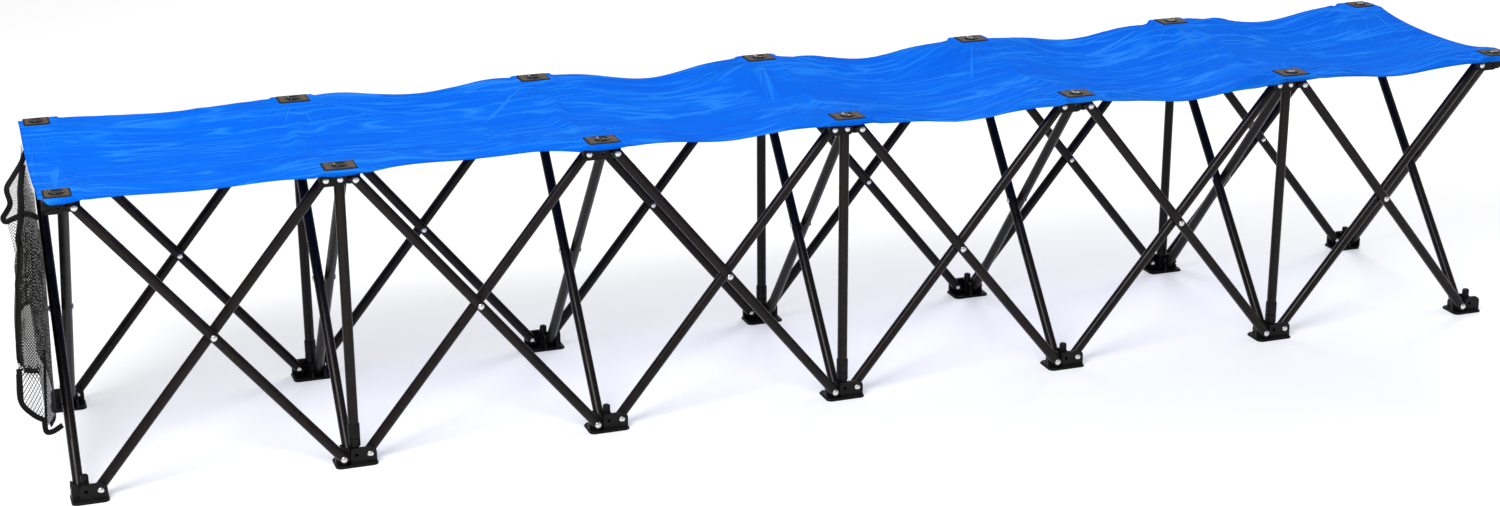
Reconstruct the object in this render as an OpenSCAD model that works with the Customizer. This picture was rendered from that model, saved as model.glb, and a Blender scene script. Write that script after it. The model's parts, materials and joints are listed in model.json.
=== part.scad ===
// Folding bench for six people: a fabric seat on a frame of crossing leg tubes.
// Seven stations stand in a line along X. Each has a hub and a foot at the front and at the back.
// Two leg tubes cross in every bay between neighbouring stations, at the front and at the back,
// and two cross tubes join the front and the back of every station.
// The origin is on the ground, in the middle of the bench. Z is up and the front faces -Y.

/* [Frame] */
// Distance between neighbouring stations
bay_pitch = 400; // [380:5:420]
// Length of every tube between its end pivots
tube_len = 566; // [544:2:590]
// Outer diameter of the leg and cross tubes
tube_d = 16; // [15:0.5:17]
// Wall of the tubes
tube_wall = 1.2; // [1:0.1:2]
// Leg tube beyond its end pivot
tube_end = 8; // [7.5:0.5:9]
// Cross tube beyond its end pivot
cross_end = 5; // [4.5:0.5:5.5]
// Thickness of the plugs that close the tube ends
plug_t = 3; // [2:0.5:3]
// Gap between the two layers of leg tubes
layer_gap = 0.6; // [0.5:0.1:1]
// Gap between the two cross tubes of a station
cross_gap = 1.2; // [1:0.1:1.6]

/* [Rivets] */
// Shank diameter
rivet_d = 5; // [4:0.5:6]
// Domed head diameter
head_d = 9.6; // [8.5:0.1:11]
// Domed head height
head_h = 2.4; // [2:0.1:3]
// Diameter of the closed end
tail_d = 8; // [7.5:0.1:9]
// Height of the closed end
tail_h = 1.6; // [1.2:0.1:2]
// Diameter of the pivot pins of the cross tubes
cross_pin_d = 6; // [5:0.5:7]
// Radial clearance round shanks and pins
pin_fit = 0.08; // [0.06:0.01:0.1]
// Room round a closed end
tail_room = 0.4; // [0.3:0.1:0.8]

/* [Hubs and feet] */
// Main wall that the leg tubes are riveted to
wall_t = 6; // [5:0.5:7]
// Web that joins the two steps of the main wall
step_t = 2.2; // [2:0.1:2.4]
// Ears that hold the cross tubes
ear_t = 3.5; // [3:0.5:4]
// Room between a swinging tube end and the lock pole
pin_room = 1.7; // [1.2:0.1:3]
// Length of the hub along the bench
hub_l = 62; // [60:1:66]
// Thickness of the hub's top plate
plate_t = 5; // [4:0.5:7]
// Top plate in front of the wall's middle plane
plate_front = 24; // [23:1:28]
// Hub wall below the pivots
hub_skirt = 10; // [9:0.5:12]
// Length of the foot along the bench
foot_l = 66; // [62:1:70]
// Sole in front of the wall's middle plane
foot_front = 14; // [12:1:20]
// Thickness of the foot's sole
sole_t = 4; // [3.5:0.5:6]
// Width of the step round the sole
sole_step = 1.8; // [1:0.2:2.4]
// Foot wall above the pivots
foot_wall_h = 11; // [10:0.5:13]
// Corner radius of the plates
corner_r = 9; // [7:0.5:11]
// Clearance round the swinging tube ends
swing_gap = 1.2; // [1:0.1:2]

/* [Lock poles] */
// Outer diameter of the pole
pole_d = 16; // [15:0.5:16.5]
// Thickness of the flattened top end
tongue_t = 4.6; // [4:0.2:5]
// Outer diameter of the ferrule
ferrule_d = 18.6; // [18:0.2:19]
// Height of the ferrule
ferrule_h = 36; // [32:1:44]
// Height of the ferrule's lower ring
ring_h = 13; // [12:0.5:15]
// Groove above the lower ring
groove_h = 2.4; // [2:0.2:3]
// Diameter of the peg on the foot
peg_d = 12; // [10:0.5:12]
// Height of the peg above the foot wall
peg_h = 12; // [10:0.5:14]

/* [Seat] */
// Thickness of the seat fabric
cloth_t = 2; // [1.5:0.1:3]
// Fabric in front of the hub wall's middle plane, at a station
cloth_front = 33; // [31:1:38]
// Fabric beyond the end stations
cloth_end = 27; // [25:1:30]
// Draw-in of the edge in the middle of a bay
edge_draw = 24; // [10:1:30]
// Sag of the edge in the middle of a bay
edge_sag = 20; // [8:1:26]
// Sag of the seat in the middle of a bay
mid_sag = 27; // [10:1:40]
// Sag of the seat between the front and the back of a station
station_sag = 18; // [8:1:26]
// Drop of the rolled hem
hem_drop = 4; // [2:0.5:6]
// Width of the rolled hem
hem_w = 9; // [7:1:9]
// Length of a reinforcement patch
patch_l = 50; // [44:1:54]
// Length of a patch at an end station
end_patch_l = 40; // [36:1:46]
// Width of a reinforcement patch
patch_w = 42; // [36:1:44]
// Thickness of a reinforcement patch
patch_t = 1.2; // [1:0.1:2]
// Diameter of the button
button_d = 22; // [18:1:26]
// Height of the button
button_h = 4.6; // [4:0.2:6]
// Diameter of the button's screw
screw_d = 4; // [3:0.5:4.5]
// Depth of the screw in the hub
screw_depth = 11; // [8:0.5:12]

/* [Mesh bag] */
// Depth of the bag from front to back
bag_w = 300; // [260:5:320]
// Height of the bag's main part
bag_h = 312; // [280:4:330]
// Thickness of the bag at its fullest
bag_t = 44; // [34:1:50]
// Height of the turned-up lower part
bag_tier_h = 66; // [50:1:80]

/* [Hidden] */
$fn = 48;
bays = 6;
clearance = 0.3;
screw_fit = 0.1;
tube_r = tube_d / 2;
pole_r = pole_d / 2;

// Pivot places: along the bench from a station, and inwards from the plane between the layers
layer_v = (tube_d + layer_gap) / 2;
end_reach = norm([tube_end, tube_r]);
cross_u = (tube_d + cross_gap) / 2;
ear_gap = 0.4;
ear_u = cross_u + tube_r + ear_gap;
pin_u = end_reach + pole_r + pin_room;
pole_v = pole_r + clearance;
cross_v = pole_v + sqrt(pow(tube_r + pole_r + layer_gap, 2) - pow(cross_u, 2));

// The open frame: every tube spans the same run and rise
run = bay_pitch - 2 * pin_u;
rise = sqrt(pow(tube_len, 2) - pow(run, 2));
slope = atan2(rise, run);
plane_y = run / 2 + cross_v;
foot_pin_z = sole_t + end_reach + swing_gap;
hub_pin_z = foot_pin_z + rise;

// Hub and foot
step_u = pin_u - end_reach - clearance;
tongue_w = 2 * (step_u - step_t - clearance);
end_out = ear_u + ear_t + sole_step;
plate_w = end_reach + swing_gap;
plate_back = cross_v + cross_pin_d / 2 + 5;
pole_room = pole_v + pole_r + clearance;
foot_back = cross_v + cross_pin_d / 2 + 7;
screw_v = -wall_t / 2;
pivot_bore = rivet_d + 2 * pin_fit;
cross_bore = cross_pin_d + 2 * pin_fit;

// Seat
seat_z = hub_pin_z + plate_w + plate_t + clearance;
seat_top = seat_z + cloth_t;
flat_y = plane_y - plate_back - 2;
edge_y = plane_y + cloth_front;
cover_fit = 0.5;
cloth_steps = 8;
// The bays at the left are pulled tight and those at the right hang deeper
bay_share = [0.5, 0.4, 1, 1.3, 1.4, 1.15];

// The mesh bag hangs on the left end, so the middle of the bench lies a little to its right
bag_gap = cross_u + tube_r + head_h + layer_gap;
bag_reach = bag_gap + bag_t;
shift = (bag_reach - cloth_end) / 2;

stations = [0:bays];
pole_stations = [1, 3, 5];

function station_x(i) = shift + (i - bays / 2) * bay_pitch;

// Reach of a moulding of length l to either side of its station: the end ones stop at their ears
function left_of(i, l) = i == 0 ? end_out : l / 2;
function right_of(i, l) = i == bays ? end_out : l / 2;

// Places a moulding at the front of a station, and turned half round at its back
module front_and_back(i, z) {
    translate([station_x(i), -plane_y, z]) children(0);
    translate([station_x(i), plane_y, z]) rotate([0, 0, 180]) children($children - 1);
}

module rounded_slab(x0, x1, y0, y1, r, h) {
    linear_extrude(height = h) union() {
        translate([x0 + r, y0]) square([x1 - x0 - 2 * r, y1 - y0]);
        translate([x0, y0 + r]) square([x1 - x0, y1 - y0 - 2 * r]);
        for (x = [x0 + r, x1 - r], y = [y0 + r, y1 - r]) translate([x, y]) circle(r);
    }
}

// Upright wall in the XZ plane, from y0 to y1, with round corners at its bottom or top
module wall(x0, x1, z0, z1, y0, y1, corner, top = false) {
    r = min(corner, 0.45 * (x1 - x0));
    translate([0, y1, 0]) rotate([90, 0, 0]) linear_extrude(height = y1 - y0) union() {
        translate([x0 + r, z0]) square([x1 - x0 - 2 * r, z1 - z0]);
        translate([x0, top ? z0 : z0 + r]) square([x1 - x0, z1 - z0 - r]);
        for (x = [x0 + r, x1 - r]) translate([x, top ? z1 - r : z0 + r]) circle(r);
    }
}

// Ear across X, from y0 to y1, with one round corner at its free end
module ear(x0, x1, y0, y1, z0, z1, r, top = false) {
    translate([x0, 0, 0]) rotate([90, 0, 90]) linear_extrude(height = x1 - x0) union() {
        translate([y0, z0]) square([y1 - y0 - r, z1 - z0]);
        translate([y0, top ? z0 : z0 + r]) square([y1 - y0, z1 - z0 - r]);
        translate([y1 - r, top ? z1 - r : z0 + r]) circle(r);
    }
}

// Main wall: one half stands in front of the plane and one behind it, joined by a web
module stepped_wall(left, right, z0, z1, r, top) {
    wall(-left, step_u, z0, z1, -wall_t, 0, r, top);
    wall(step_u - step_t, right, z0, z1, 0, wall_t, r, top);
    translate([step_u - step_t, -wall_t, top ? z0 : z0 + r]) cube([step_t, 2 * wall_t, z1 - z0 - r]);
}

module across(x, z, d) {
    translate([x, 0, z]) rotate([90, 0, 0]) cylinder(d = d, h = 8 * tube_d, center = true);
}

// Pivot bores of a moulding, left out where it is cut short of them
module pivot_bores(left, right) {
    for (x = [-pin_u, 0, pin_u])
        if (x - head_d / 2 > -left && x + head_d / 2 < right) across(x, 0, pivot_bore);
}

// Pocket in an ear for the closed end of the rivet beside it
module tail_pocket(x) {
    translate([x, wall_t, 0]) rotate([-90, 0, 0])
        cylinder(d = tail_d + 2 * tail_room, h = tail_h + tail_room);
}

module hub(left, right) {
    far = cross_u - tube_r - ear_gap;
    ear_short = 2;
    rib_in = 3;
    rib_t = 2.4;
    rib_h = 2;
    difference() {
        union() {
            translate([0, 0, plate_w])
                rounded_slab(-left, right, -plate_front, plate_back, corner_r, plate_t);
            stepped_wall(left, right, -hub_skirt, plate_w, corner_r - ear_short, false);
            ear(ear_u, ear_u + ear_t, wall_t, plate_back, ear_short - hub_skirt, plate_w,
                corner_r - ear_short);
            ear(far - ear_t, far, pole_room, plate_back, ear_short - hub_skirt, plate_w,
                corner_r - ear_short);
            // Rib that stiffens the plate over the front wall
            translate([corner_r - left, rib_in - plate_front, plate_w - rib_h])
                cube([left + right - 2 * corner_r, rib_t, rib_h]);
        }
        pivot_bores(left, right);
        tail_pocket(pin_u);
        // The cross tube's pin slides out of the ears through open slots
        hull() {
            for (y = [cross_v, cross_v + 2 * tube_d])
                translate([0, y, 0]) rotate([0, 90, 0])
                    cylinder(d = cross_bore + clearance, h = 4 * tube_d, center = true, $fn = 32);
        }
        translate([0, screw_v, plate_w + plate_t - screw_depth])
            cylinder(d = screw_d + 2 * screw_fit, h = screw_depth + 1);
    }
}

module foot(left, right) {
    far = tube_r + ear_gap - cross_u;
    sole_z = sole_t - foot_pin_z;
    ear_short = 2;
    web_short = 1;
    difference() {
        union() {
            translate([0, 0, -foot_pin_z])
                rounded_slab(-left, right, -foot_front, foot_back, corner_r, sole_t / 2);
            translate([0, 0, -foot_pin_z + sole_t / 2])
                rounded_slab(-left + sole_step, right - sole_step,
                    -foot_front + sole_step, foot_back - sole_step, corner_r - sole_step, sole_t / 2);
            mirror([1, 0, 0])
                stepped_wall(right - sole_step, left - sole_step, sole_z, foot_wall_h, corner_r, true);
            mirror([1, 0, 0]) ear(ear_u, ear_u + ear_t, wall_t, foot_back - sole_step,
                sole_z, foot_wall_h - ear_short, corner_r, true);
            ear(far, far + ear_t, pole_room + 1, foot_back - sole_step,
                sole_z, foot_wall_h - ear_short, corner_r, true);
            translate([0, pole_v, sole_z]) peg(foot_wall_h + peg_h - sole_z);
            translate([0, -wall_t / 2, sole_z])
                cube([peg_d / 2, pole_v + wall_t / 2, foot_wall_h - sole_z - web_short]);
        }
        pivot_bores(left, right);
        tail_pocket(-pin_u);
        translate([0, cross_v, 0]) rotate([0, 90, 0])
            cylinder(d = cross_bore, h = 4 * tube_d, center = true);
    }
}

// Peg with a rounded tip that the lock pole's ferrule drops over
module peg(h) {
    tip = peg_d / 4;
    cylinder(d = peg_d, h = h - tip);
    translate([0, 0, h - tip]) rotate_extrude() union() {
        square([peg_d / 2 - tip, tip]);
        translate([peg_d / 2 - tip, 0]) intersection() {
            circle(tip);
            square(tip);
        }
    }
}

// Rivet along Y, with its domed head at y0 and its closed end at y1
module rivet(y0, y1) {
    translate([0, y0, 0]) rotate([-90, 0, 0]) {
        cylinder(d = rivet_d, h = y1 - y0);
        mirror([0, 0, 1]) dome(head_d, head_h);
        translate([0, 0, y1 - y0]) dome(tail_d, tail_h);
    }
}

// Shallow dome on a short rim, standing on the XY plane
module dome(d, h) {
    rim = h / 4;
    rise_h = h - rim;
    ball_r = (pow(d / 2, 2) + pow(rise_h, 2)) / (2 * rise_h);
    cylinder(d = d, h = rim);
    translate([0, 0, rim]) rotate_extrude() intersection() {
        translate([0, rise_h - ball_r]) circle(ball_r, $fn = 96);
        square([d, rise_h]);
    }
}

// Plugged tube along X, from its first pivot to tube_len, cut past both pivots
module tube(end) {
    bevel = 1;
    difference() {
        translate([-end, 0, 0]) rotate([0, 90, 0]) union() {
            cylinder(r1 = tube_r - bevel, r2 = tube_r, h = bevel);
            translate([0, 0, bevel]) cylinder(r = tube_r, h = tube_len + 2 * (end - bevel));
            translate([0, 0, tube_len + 2 * end - bevel])
                cylinder(r1 = tube_r, r2 = tube_r - bevel, h = bevel);
        }
        translate([plug_t - end, 0, 0]) rotate([0, 90, 0])
            cylinder(r = tube_r - tube_wall, h = tube_len + 2 * (end - plug_t));
        children();
    }
}

// Leg tube along X with the rivets of its ends. An outer tube lies in front of the hub's wall
module leg_tube(outer) {
    v = outer ? -layer_v : layer_v;
    span = layer_v + tube_r;
    translate([0, v, 0]) tube(tube_end) for (x = [0, tube_len / 2, tube_len]) across(x, 0, pivot_bore);
    for (x = [0, tube_len]) translate([x, 0, 0])
        rivet(outer ? -span : -wall_t, outer ? wall_t : span);
}

// Leg tube that rises to the right, from foot i to hub i + 1, with the rivet of the crossing
module rising_tubes(i) {
    span = layer_v + tube_r;
    color([0.13, 0.12, 0.12]) for (back = [0, 1])
        translate([station_x(i) + pin_u, (back ? 1 : -1) * plane_y, foot_pin_z]) rotate([0, -slope, 0])
            mirror([0, back, 0]) {
                leg_tube(back == 1);
                translate([tube_len / 2, 0, 0]) rivet(-span, span);
            }
}

// Leg tube that falls to the right, from hub i to foot i + 1
module falling_tubes(i) {
    color([0.13, 0.12, 0.12]) for (back = [0, 1])
        translate([station_x(i) + pin_u, (back ? 1 : -1) * plane_y, hub_pin_z]) rotate([0, slope, 0])
            mirror([0, back, 0]) leg_tube(back == 0);
}

// Cross tube along X, with its two pivot pins across it and its half of the crossing rivet
module cross_tube() {
    pin_l = tube_d + 2 * (ear_gap + ear_t) + 1;
    tube(cross_end) {
        for (x = [0, tube_len]) across(x, 0, cross_bore);
        across(tube_len / 2, 0, pivot_bore);
    }
    for (x = [0, tube_len]) translate([x, 0, 0]) rotate([90, 0, 0])
        cylinder(d = cross_pin_d, h = pin_l, center = true);
    translate([tube_len / 2, -tube_r, 0]) rotate([-90, 0, 0]) {
        cylinder(d = rivet_d, h = tube_d);
        mirror([0, 0, 1]) dome(head_d, head_h);
    }
}

// Cross tube on the front foot, leaning back to the rear hub
module front_cross_tube(i) {
    color([0.13, 0.12, 0.12]) translate([station_x(i) - cross_u, -run / 2, foot_pin_z])
        rotate([slope, 0, 0]) rotate([0, 0, 90]) mirror([0, 1, 0]) cross_tube();
}

// Cross tube on the rear foot, leaning forward to the front hub
module rear_cross_tube(i) {
    color([0.13, 0.12, 0.12]) translate([station_x(i) + cross_u, run / 2, foot_pin_z])
        rotate([0, 0, 180]) rotate([slope, 0, 0]) rotate([0, 0, 90]) mirror([0, 1, 0]) cross_tube();
}

// Lock pole: a tube whose flat top is riveted in the hub, seen from the station's pivot height
module lock_pole() {
    bottom = foot_pin_z + foot_wall_h + clearance + ring_h + groove_h;
    top = hub_pin_z - hub_skirt - 1;
    span = clearance + tongue_t;
    difference() {
        translate([0, pole_v, bottom]) cylinder(r = pole_r, h = top - bottom);
        translate([0, pole_v, bottom - 1]) cylinder(r = pole_r - tube_wall, h = top - bottom - plug_t);
    }
    difference() {
        wall(-tongue_w / 2, tongue_w / 2, top, hub_pin_z + tongue_w / 2, clearance, span,
            tongue_w / 2 - 1, true);
        across(0, hub_pin_z, pivot_bore);
    }
    translate([0, 0, hub_pin_z]) rivet(-wall_t, span);
}

module lock_poles(i) {
    color([0.15, 0.14, 0.14]) front_and_back(i, 0) lock_pole();
}

// Ferrule: a sleeve round the pole's end over a ring that drops over the foot's peg
module ferrule() {
    groove_in = 1;
    floor_h = 1.4;
    translate([0, pole_v, foot_pin_z + foot_wall_h + clearance]) difference() {
        union() {
            cylinder(d = ferrule_d, h = ring_h);
            cylinder(d = ferrule_d - 2 * groove_in, h = ring_h + groove_h);
            translate([0, 0, ring_h + groove_h - floor_h])
                cylinder(d = ferrule_d, h = ferrule_h - ring_h - groove_h + floor_h - 1);
            translate([0, 0, ferrule_h - 1]) cylinder(d1 = ferrule_d, d2 = ferrule_d - 1, h = 1);
        }
        translate([0, 0, -1]) cylinder(d = peg_d + 2 * clearance, h = ring_h + 1 - floor_h + 1);
        translate([0, 0, ring_h + groove_h]) cylinder(d = pole_d, h = ferrule_h);
    }
}

module pole_ferrules(i) {
    color([0.08, 0.08, 0.08]) front_and_back(i, 0) ferrule();
}

// Stitched patch on the fabric, and the button whose screw clamps both to the hub
module seat_fixing(long) {
    lift = 0.1;
    base = cloth_t + lift;
    translate([0, screw_v, base]) {
        color([0.22, 0.2, 0.19]) difference() {
            rounded_slab(-long / 2, long / 2, -patch_w / 2, patch_w / 2, 2, patch_t);
            translate([0, 0, -1]) cylinder(d = screw_d + 2 * screw_fit, h = patch_t + 2);
        }
        color([0.06, 0.06, 0.06]) translate([0, 0, patch_t + lift]) {
            dome(button_d, button_h);
            translate([0, 0, 1 - base - patch_t - clearance - screw_depth])
                cylinder(d = screw_d, h = base + patch_t + clearance + screw_depth);
        }
    }
}

module seat_fixings(i) {
    front_and_back(i, seat_z) seat_fixing(i == 0 || i == bays ? end_patch_l : patch_l);
}

// Shape of the seat: 0 over a hub and 1 in the middle of a bay, and 1 in the middle of the width
function bay_part(k) = pow(sin(180 * k / cloth_steps), 2);
function width_part(y) = abs(y) >= flat_y ? 0 : pow(cos(90 * y / flat_y), 2);
function column_x(i, k) = station_x(i) + hub_l / 2 + k * (bay_pitch - hub_l) / cloth_steps;
cloth_columns = concat(
    [[station_x(0) - cloth_end, 0, 0]],
    [for (i = [0:bays - 1], k = [0:cloth_steps]) [column_x(i, k), bay_part(k), bay_share[i]]],
    [[station_x(bays) + cloth_end, 0, 0]]
);
function cloth_rows(b) =
    let (edge = edge_y - edge_draw * b)
    [-edge, hem_w - edge, -flat_y, -flat_y * 2 / 3, -flat_y / 3, 0,
        flat_y / 3, flat_y * 2 / 3, flat_y, edge - hem_w, edge];
function cloth_z(b, share, y, at_edge) =
    let (w = width_part(y))
    seat_top - station_sag * w * (1 - b) - share * b * (edge_sag + (mid_sag - edge_sag) * w)
        - (at_edge ? hem_drop : 0);

// Seat fabric: one sheet over all the hubs, sagging and drawn in between them
module seat_cover() {
    rows = len(cloth_rows(0));
    cols = len(cloth_columns);
    upper = [for (c = cloth_columns) let (ys = cloth_rows(c[1])) for (j = [0:rows - 1])
        [c[0], ys[j], cloth_z(c[1], c[2], ys[j], j == 0 || j == rows - 1)]];
    lower = [for (p = upper) [p[0], p[1], p[2] - cloth_t]];
    n = len(upper);
    at = function(i, j) i * rows + j;
    faces = concat(
        [for (i = [0:cols - 2], j = [0:rows - 2]) each [
            [at(i, j), at(i, j + 1), at(i + 1, j)], [at(i, j + 1), at(i + 1, j + 1), at(i + 1, j)],
            [n + at(i, j), n + at(i + 1, j), n + at(i, j + 1)],
            [n + at(i, j + 1), n + at(i + 1, j), n + at(i + 1, j + 1)]]],
        [for (i = [0:cols - 2], j = [0, rows - 1]) let (a = at(i, j), b = at(i + 1, j)) each j == 0
            ? [[a, b, n + b], [a, n + b, n + a]]
            : [[a, n + b, b], [a, n + a, n + b]]],
        [for (i = [0, cols - 1], j = [0:rows - 2]) let (a = at(i, j), b = at(i, j + 1)) each i == 0
            ? [[a, n + b, b], [a, n + a, n + b]]
            : [[a, b, n + b], [a, n + b, n + a]]]
    );
    color([0.08, 0.45, 0.98]) difference() {
        polyhedron(concat(upper, lower), faces, convexity = 6);
        for (i = stations) front_and_back(i, seat_z) translate([0, screw_v, -cloth_t])
            cylinder(d = screw_d + 2 * cover_fit, h = 3 * cloth_t);
    }
}

// Mesh bag: a flat sleeve sewn to the left end of the seat, turned up at its bottom
module mesh_bag() {
    seam = 4;
    hem_u = cloth_end + clearance;
    top = seat_z - seam;
    neck = seat_z - station_sag - hem_drop;
    hollow = top - bag_h * 0.2;
    belly = top - bag_h * 0.62;
    bottom = top - bag_h;
    to_front = 20;
    tier_w = bag_w * 0.7;
    tier_to_front = 50;
    tier_top = bottom + 1;
    tier_bottom = bottom - bag_tier_h;
    color([0.1, 0.1, 0.1]) translate([station_x(0), 0, 0]) {
        translate([0, bag_w / 2 - to_front, 0]) rotate([90, 0, 0]) linear_extrude(height = bag_w)
            polygon([[-hem_u, top], [-hem_u - seam, top], [-bag_gap - bag_t * 0.6, hollow],
                [-bag_reach, belly], [-bag_reach, bottom + 2 * seam], [-bag_reach + seam, bottom],
                [-bag_gap, bottom], [-bag_gap, hollow], [-hem_u, neck]]);
        translate([0, tier_w / 2 - tier_to_front, 0]) rotate([90, 0, 0]) linear_extrude(height = tier_w)
            polygon([[-bag_gap, tier_top], [-bag_gap - bag_t * 0.75, tier_top],
                [-bag_gap - bag_t * 0.65, tier_bottom], [-bag_gap - seam, tier_bottom - seam]]);
    }
}

for (i = stations) {
    color([0.07, 0.07, 0.07]) front_and_back(i, foot_pin_z) {
            foot(left_of(i, foot_l), right_of(i, foot_l));
            foot(right_of(i, foot_l), left_of(i, foot_l));
        }
    color([0.07, 0.07, 0.07]) front_and_back(i, hub_pin_z) {
            hub(left_of(i, hub_l), right_of(i, hub_l));
            hub(right_of(i, hub_l), left_of(i, hub_l));
        }
    front_cross_tube(i);
    rear_cross_tube(i);
    seat_fixings(i);
}
for (i = [0:bays - 1]) {
    rising_tubes(i);
    falling_tubes(i);
}
for (i = pole_stations) {
    lock_poles(i);
    pole_ferrules(i);
}
seat_cover();
mesh_bag();
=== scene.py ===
"""A folding bench for six people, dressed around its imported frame.

Seven stations stand in a line along X. Each has two feet and two hubs of black nylon, joined to the
next station by crossing leg tubes. A blue fabric seat is buttoned to all the hubs, and a mesh bag
hangs on the left end. Lengths are in metres, Z is up and the front of the bench faces -Y.
"""
import json
import math

import bmesh
import bpy
import numpy as np
from mathutils import Matrix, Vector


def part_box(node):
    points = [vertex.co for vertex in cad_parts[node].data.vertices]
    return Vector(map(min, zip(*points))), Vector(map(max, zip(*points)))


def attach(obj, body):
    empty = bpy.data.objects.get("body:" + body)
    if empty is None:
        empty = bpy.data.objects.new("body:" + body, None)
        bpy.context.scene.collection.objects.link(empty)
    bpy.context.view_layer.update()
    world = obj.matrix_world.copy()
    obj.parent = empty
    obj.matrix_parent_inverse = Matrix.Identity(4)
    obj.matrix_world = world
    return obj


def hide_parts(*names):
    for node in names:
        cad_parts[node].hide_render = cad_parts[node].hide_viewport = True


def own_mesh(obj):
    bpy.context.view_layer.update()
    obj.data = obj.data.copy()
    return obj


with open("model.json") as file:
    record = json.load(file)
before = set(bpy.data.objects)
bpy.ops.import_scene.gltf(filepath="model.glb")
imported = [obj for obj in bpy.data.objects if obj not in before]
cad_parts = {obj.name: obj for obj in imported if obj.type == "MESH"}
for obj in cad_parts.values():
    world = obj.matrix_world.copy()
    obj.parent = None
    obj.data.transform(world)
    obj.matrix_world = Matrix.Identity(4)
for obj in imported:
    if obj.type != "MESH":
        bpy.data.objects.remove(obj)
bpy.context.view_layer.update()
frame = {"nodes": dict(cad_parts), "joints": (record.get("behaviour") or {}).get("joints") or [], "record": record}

# Feet. Each station stands on two black nylon feet, moulded in one shot with a wide sole, a stepped
# wall that the leg tubes are riveted to, ears for the cross tubes and a peg for a lock pole.
# The mould leaves every edge slightly round and the surface finely grained.
stations = range(7)
bays = range(6)
mould_edge = 0.0006


def material(name, **sockets):
    """A named surface whose shader sockets hold these plain values; an underscore stands for a space."""
    made = bpy.data.materials.new(name)
    made.use_nodes = True
    shader = made.node_tree.nodes["Principled BSDF"]
    for socket, value in sockets.items():
        shader.inputs[socket.replace("_", " ")].default_value = value
    return made, made.node_tree, shader


def add(tree, kind, inputs=None, **settings):
    """One shader node. Each input is a plain value, or another node's output that is linked to it."""
    made = tree.nodes.new("ShaderNode" + kind)
    for key, value in settings.items():
        setattr(made, key, value)
    for key, value in (inputs or {}).items():
        if isinstance(value, bpy.types.NodeSocket):
            tree.links.new(value, made.inputs[key])
        else:
            made.inputs[key].default_value = value
    return made


def math_node(tree, operation, a, b=0.0):
    """The result of one sum on numbers or outputs."""
    return add(tree, "Math", {0: a, 1: b}, operation=operation).outputs[0]


def ramp(tree, factor, *stops):
    """A colour that runs through stops, each a place from 0 to 1 and a colour."""
    made = add(tree, "ValToRGB", {0: factor})
    elements = made.color_ramp.elements
    while len(elements) < len(stops):
        elements.new(0.5)
    for element, (place, colour) in zip(elements, stops):
        element.position = place
        element.color = (*colour, 1)
    return made.outputs[0]


def ranged(tree, value, low, high, to_low, to_high):
    """Carries a value from the span low..high over to the span to_low..to_high, and holds it there."""
    spans = {"Value": value, "From Min": low, "From Max": high, "To Min": to_low, "To Max": to_high}
    return add(tree, "MapRange", spans).outputs[0]


def noise(tree, scale, detail, place=None):
    """A soft noise from 0 to 1 over the object's own places, or over the places that are given."""
    if place is None:
        place = add(tree, "TexCoord").outputs["Object"]
    return add(tree, "TexNoise", {"Vector": place, "Scale": scale, "Detail": detail}).outputs[0]


def clouded(tree, shader, cloud, dark, light, rough=None):
    """Lets the colour drift from dark to light with a noise, and the roughness between its two values."""
    tree.links.new(ramp(tree, cloud, (0.3, dark), (0.7, light)), shader.inputs["Base Color"])
    if rough:
        tree.links.new(ranged(tree, cloud, 0.3, 0.7, *rough), shader.inputs["Roughness"])


def bumped(tree, shader, *layers):
    """Raises the surface by several layers, each a height output and its depth in metres."""
    normal = None
    for height, depth in layers:
        sockets = {"Height": height, "Distance": depth, "Strength": 1.0}
        if normal is not None:
            sockets["Normal"] = normal
        normal = add(tree, "Bump", sockets).outputs[0]
    tree.links.new(normal, shader.inputs["Normal"])


nylon, tree, shader = material("black_nylon", Specular_IOR_Level=0.16)
cloud, grain = noise(tree, 70, 4), noise(tree, 1600, 2)
clouded(tree, shader, cloud, (0.005, 0.0048, 0.005), (0.010, 0.0092, 0.0088), rough=(0.36, 0.5))
bumped(tree, shader, (grain, 0.00006), (cloud, 0.0002))


def moulding(name, node, body, surface):
    """Copies a packed moulding, welds its loose triangles into whole faces and rolls its edges over."""
    packed = frame["nodes"][node].data
    points = np.empty(3 * len(packed.vertices), np.float32)
    corners = np.empty(len(packed.loops), np.int32)
    packed.vertices.foreach_get("co", points)
    packed.loops.foreach_get("vertex_index", corners)
    mesh = bpy.data.meshes.new(name)
    mesh.from_pydata(points.reshape(-1, 3), [], corners.reshape(-1, 3).tolist())
    work = bmesh.new()
    work.from_mesh(mesh)
    bmesh.ops.remove_doubles(work, verts=work.verts, dist=1e-5)
    bmesh.ops.dissolve_limit(work, verts=work.verts, edges=work.edges, angle_limit=math.radians(1))
    work.to_mesh(mesh)
    work.free()
    mesh.polygons.foreach_set("use_smooth", np.ones(len(mesh.polygons), bool))
    mesh.materials.append(surface)
    piece = bpy.data.objects.new(name, mesh)
    bpy.context.scene.collection.objects.link(piece)
    roll = piece.modifiers.new("rolled_edges", "BEVEL")
    roll.width = mould_edge
    roll.segments = 2
    roll.limit_method = "ANGLE"
    roll.angle_limit = math.radians(35)
    roll.use_clamp_overlap = False
    roll.harden_normals = True
    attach(piece, body)
    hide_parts(node)
    return piece


for i in stations:
    moulding(f"nylon_feet_{i}", f"feet_{i}", f"feet_{i}", nylon)

# Hubs. The upper mouldings are nylon too: a plate that the fabric lies on, over the same stepped
# wall and ears as the feet have, with the ribs on their undersides left open.
for i in stations:
    moulding(f"nylon_hubs_{i}", f"hubs_{i}", f"hubs_{i}", nylon)

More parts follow.
